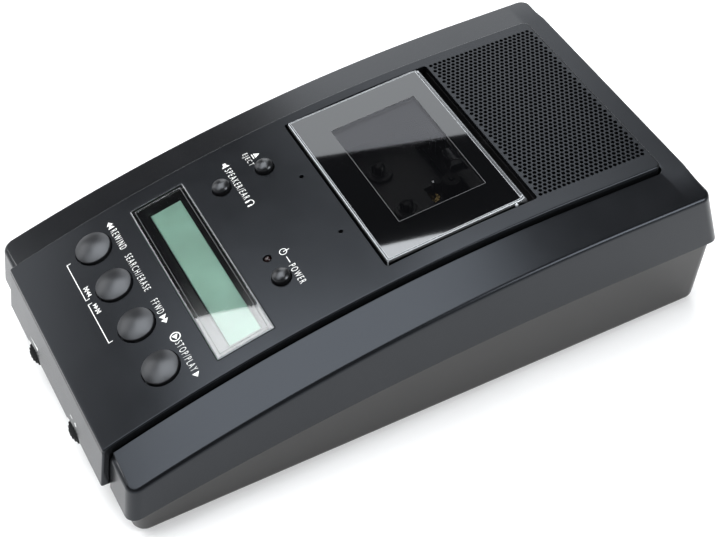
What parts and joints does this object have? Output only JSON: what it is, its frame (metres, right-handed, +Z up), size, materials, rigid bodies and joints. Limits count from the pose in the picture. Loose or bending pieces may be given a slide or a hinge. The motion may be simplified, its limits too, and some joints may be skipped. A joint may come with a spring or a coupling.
{
  "type": "microcassette dictation machine",
  "caption": "Desktop dictation machine: wedge case, curved button panel with display, hinged clear lid over a microcassette deck, loudspeaker and two thumbwheels.",
  "frame": {"origin": "centre of the bounding box's underside, on the table", "axes": "+X to the user's right, +Y away from the user towards the loudspeaker, +Z up"},
  "size_m": [0.131, 0.2422, 0.0652],
  "materials": {
    "case_plastic": "fine moulded texture, satin black",
    "panel_plastic": "smooth satin black with printed white legends",
    "base_plastic": "fine moulded texture, dark grey-black",
    "inner_plastic": "plain moulded black",
    "button_plastic": "satin dark grey domed caps",
    "foot_rubber": "matt rubber",
    "lid_acrylic": "polished clear lid with a black mask round its window",
    "window_acrylic": "polished clear pane",
    "display_green": "green-grey reflective liquid crystal",
    "led_lens": "dark red translucent lens",
    "steel": "plated sheet and turned steel",
    "zinc": "machined flywheel",
    "brass": "turned brass",
    "board": "green circuit board with parts",
    "component_plastic": "blue and white moulded parts",
    "cone_paper": "black paper cone"
  },
  "bodies": {
    "root": {"upper_case": "case_plastic", "control_panel": "panel_plastic", "lower_case": "base_plastic", "front_left_foot": "foot_rubber", "front_right_foot": "foot_rubber", "back_left_foot": "foot_rubber", "back_right_foot": "foot_rubber", "front_left_screw": "steel", "back_left_screw": "steel", "front_right_screw": "steel", "back_right_screw": "steel", "display_window": "window_acrylic", "display_bezel": "inner_plastic", "display_glass": "display_green", "key_board": "board", "main_board": "board", "wheel_board": "board", "power_led": "led_lens", "left_microphone": "steel", "right_microphone": "steel", "volume_control": "component_plastic", "tone_control": "component_plastic", "lid_hinge_pin": "steel", "lid_spring": "steel", "cassette_well": "inner_plastic", "deck_plate": "steel", "capstan_bearing": "brass", "flywheel_bracket": "steel", "drive_motor": "steel", "drive_belt": "foot_rubber", "head_solenoid": "component_plastic", "speaker_frame": "steel", "speaker_cone": "cone_paper", "speaker_magnet": "steel", "foot_switch_socket": "inner_plastic", "earphone_socket": "inner_plastic", "power_socket": "inner_plastic"},
    "lid": {"cassette_lid": "lid_acrylic"},
    "latch": {"lid_latch": "component_plastic"},
    "volume_wheel": {"volume_wheel": "button_plastic"},
    "tone_wheel": {"tone_wheel": "button_plastic"},
    "supply_reel": {"supply_spindle": "inner_plastic"},
    "takeup_reel": {"takeup_spindle": "inner_plastic"},
    "capstan": {"capstan_shaft": "steel", "flywheel": "zinc"},
    "motor_rotor": {"motor_pulley": "brass"},
    "idler": {"idler_wheel": "foot_rubber"},
    "head_carriage": {"head_plate": "steel", "play_head": "steel", "erase_head": "inner_plastic", "solenoid_plunger": "steel"},
    "pinch_arm": {"pinch_arm": "steel"},
    "pinch_roller": {"pinch_roller": "foot_rubber"},
    "rewind_button": {"rewind_button": "button_plastic"},
    "search_button": {"search_button": "button_plastic"},
    "forward_button": {"forward_button": "button_plastic"},
    "play_button": {"play_button": "button_plastic"},
    "speaker_button": {"speaker_button": "button_plastic"},
    "eject_button": {"eject_button": "button_plastic"},
    "power_button": {"power_button": "button_plastic"}
  },
  "joints": [
    {"name": "rewind_press", "type": "slide", "parent": "root", "child": "rewind_button", "axis": [0, 0.2773, -0.9608], "range_m": [0, 0.0012], "stiffness_N_per_m": 400},
    {"name": "search_press", "type": "slide", "parent": "root", "child": "search_button", "axis": [0, 0.2773, -0.9608], "range_m": [0, 0.0012], "stiffness_N_per_m": 400},
    {"name": "forward_press", "type": "slide", "parent": "root", "child": "forward_button", "axis": [0, 0.2773, -0.9608], "range_m": [0, 0.0012], "stiffness_N_per_m": 400},
    {"name": "play_press", "type": "slide", "parent": "root", "child": "play_button", "axis": [0, 0.2773, -0.9608], "range_m": [0, 0.0012], "stiffness_N_per_m": 400},
    {"name": "speaker_press", "type": "slide", "parent": "root", "child": "speaker_button", "axis": [0, 0.188, -0.9822], "range_m": [0, 0.0012], "stiffness_N_per_m": 400},
    {"name": "eject_press", "type": "slide", "parent": "root", "child": "eject_button", "axis": [0, 0.157, -0.9876], "range_m": [0, 0.0012], "stiffness_N_per_m": 400},
    {"name": "power_press", "type": "slide", "parent": "root", "child": "power_button", "axis": [0, 0.1875, -0.9823], "range_m": [0, 0.0012], "stiffness_N_per_m": 400},
    {"name": "volume_turn", "type": "hinge", "parent": "root", "child": "volume_wheel", "pos_m": [-0.0207, -0.1121, 0.0132], "axis": [0, 0, 1], "range_deg": [-135, 135]},
    {"name": "tone_turn", "type": "hinge", "parent": "root", "child": "tone_wheel", "pos_m": [0.0197, -0.1121, 0.0132], "axis": [0, 0, 1], "range_deg": [-135, 135]},
    {"name": "lid_hinge", "type": "hinge", "parent": "root", "child": "lid", "pos_m": [-0.0014, 0.0505, 0.0606], "axis": [-1, 0, 0], "range_deg": [0, 62]},
    {"name": "latch_pivot", "type": "hinge", "parent": "root", "child": "latch", "pos_m": [-0.0274, -0.0125, 0.0495], "axis": [1, 0, 0], "range_deg": [0, 8]},
    {"name": "capstan_spin", "type": "hinge", "parent": "root", "child": "capstan", "pos_m": [0.0063, 0.0323, 0.04], "axis": [0, 0, 1], "continuous": true},
    {"name": "motor_spin", "type": "hinge", "parent": "root", "child": "motor_rotor", "pos_m": [-0.031, 0.0295, 0.026], "axis": [0, 0, 1], "continuous": true},
    {"name": "idler_spin", "type": "hinge", "parent": "root", "child": "idler", "pos_m": [0.01236, 0.02921, 0.0423], "axis": [0, 0, 1], "continuous": true},
    {"name": "takeup_spin", "type": "hinge", "parent": "root", "child": "takeup_reel", "pos_m": [0.011, 0.019, 0.048], "axis": [0, 0, 1], "continuous": true},
    {"name": "supply_spin", "type": "hinge", "parent": "root", "child": "supply_reel", "pos_m": [-0.011, 0.019, 0.048], "axis": [0, 0, 1], "continuous": true},
    {"name": "head_slide", "type": "slide", "parent": "root", "child": "head_carriage", "axis": [0, -1, 0], "range_m": [0, 0.003], "stiffness_N_per_m": 150},
    {"name": "pinch_swing", "type": "hinge", "parent": "root", "child": "pinch_arm", "pos_m": [0.022, 0.0395, 0.047], "axis": [0, 0, 1], "range_deg": [0, 12]},
    {"name": "pinch_roller_spin", "type": "hinge", "parent": "pinch_arm", "child": "pinch_roller", "pos_m": [0.00781, 0.03904, 0.051], "axis": [0, 0, 1], "continuous": true}
  ],
  "couplings": [
    {"joint": "motor_spin", "follows": "capstan_spin", "ratio": 3.75},
    {"joint": "idler_spin", "follows": "capstan_spin", "ratio": -0.85714},
    {"joint": "takeup_spin", "follows": "capstan_spin", "ratio": 0.46154},
    {"joint": "pinch_swing", "follows": "head_slide", "rad_per_m": 69.813},
    {"joint": "latch_pivot", "follows": "eject_press", "rad_per_m": 116.36}
  ]
}
